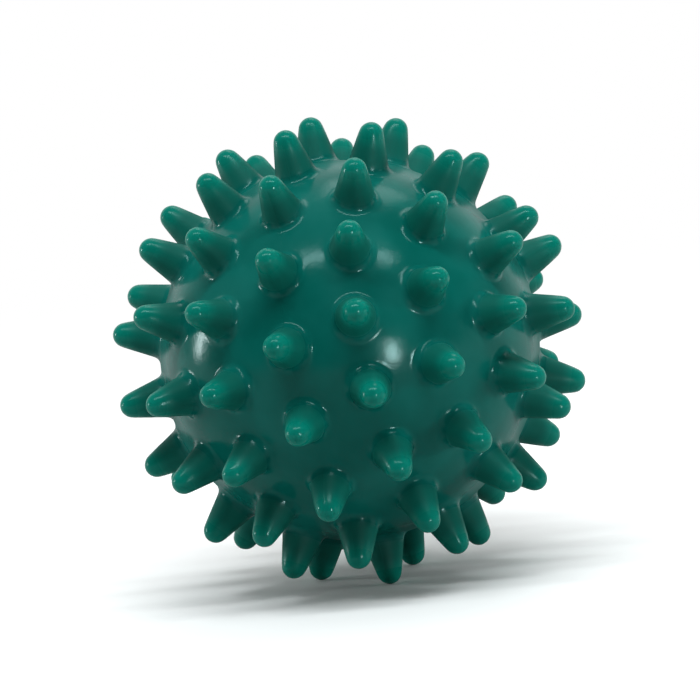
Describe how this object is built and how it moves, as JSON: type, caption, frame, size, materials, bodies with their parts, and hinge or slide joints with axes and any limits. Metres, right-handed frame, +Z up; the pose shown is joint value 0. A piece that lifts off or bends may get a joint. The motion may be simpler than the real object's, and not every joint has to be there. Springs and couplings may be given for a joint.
{
  "type": "spiked massage ball",
  "caption": "Hollow soft-vinyl massage ball with rings of blunt spikes for rolling over muscles and feet, closed by a push-in needle valve.",
  "frame": {"origin": "centre of the ball", "axes": "+Z up as the ball lies on three spike tips, +X to the right as pictured, -Y towards the camera; the valve is at the left and behind"},
  "size_m": [0.0692, 0.0697, 0.0682],
  "materials": {
    "vinyl": "semi-gloss dark-green soft vinyl, as cast",
    "seat": "satin dark-green soft vinyl, moulded",
    "stopper": "satin dark-green flexible plastic, moulded",
    "seal": "matt black rubber"
  },
  "bodies": {
    "ball": {"ball_wall": "vinyl", "spikes_equator": "vinyl", "spikes_far_1": "vinyl", "spikes_far_2": "vinyl", "spikes_far_3": "vinyl", "spike_far_pole": "vinyl", "spikes_valve_1": "vinyl", "spikes_valve_2": "vinyl", "spikes_valve_3": "vinyl", "valve_seat": "seat"},
    "stopper": {"valve_stopper": "stopper", "needle_seal": "seal"}
  },
  "joints": [
    {"name": "stopper_pull", "type": "slide", "parent": "ball", "child": "stopper", "axis": [-0.9479, 0.2898, -0.1326], "range_m": [0, 0.015]}
  ]
}
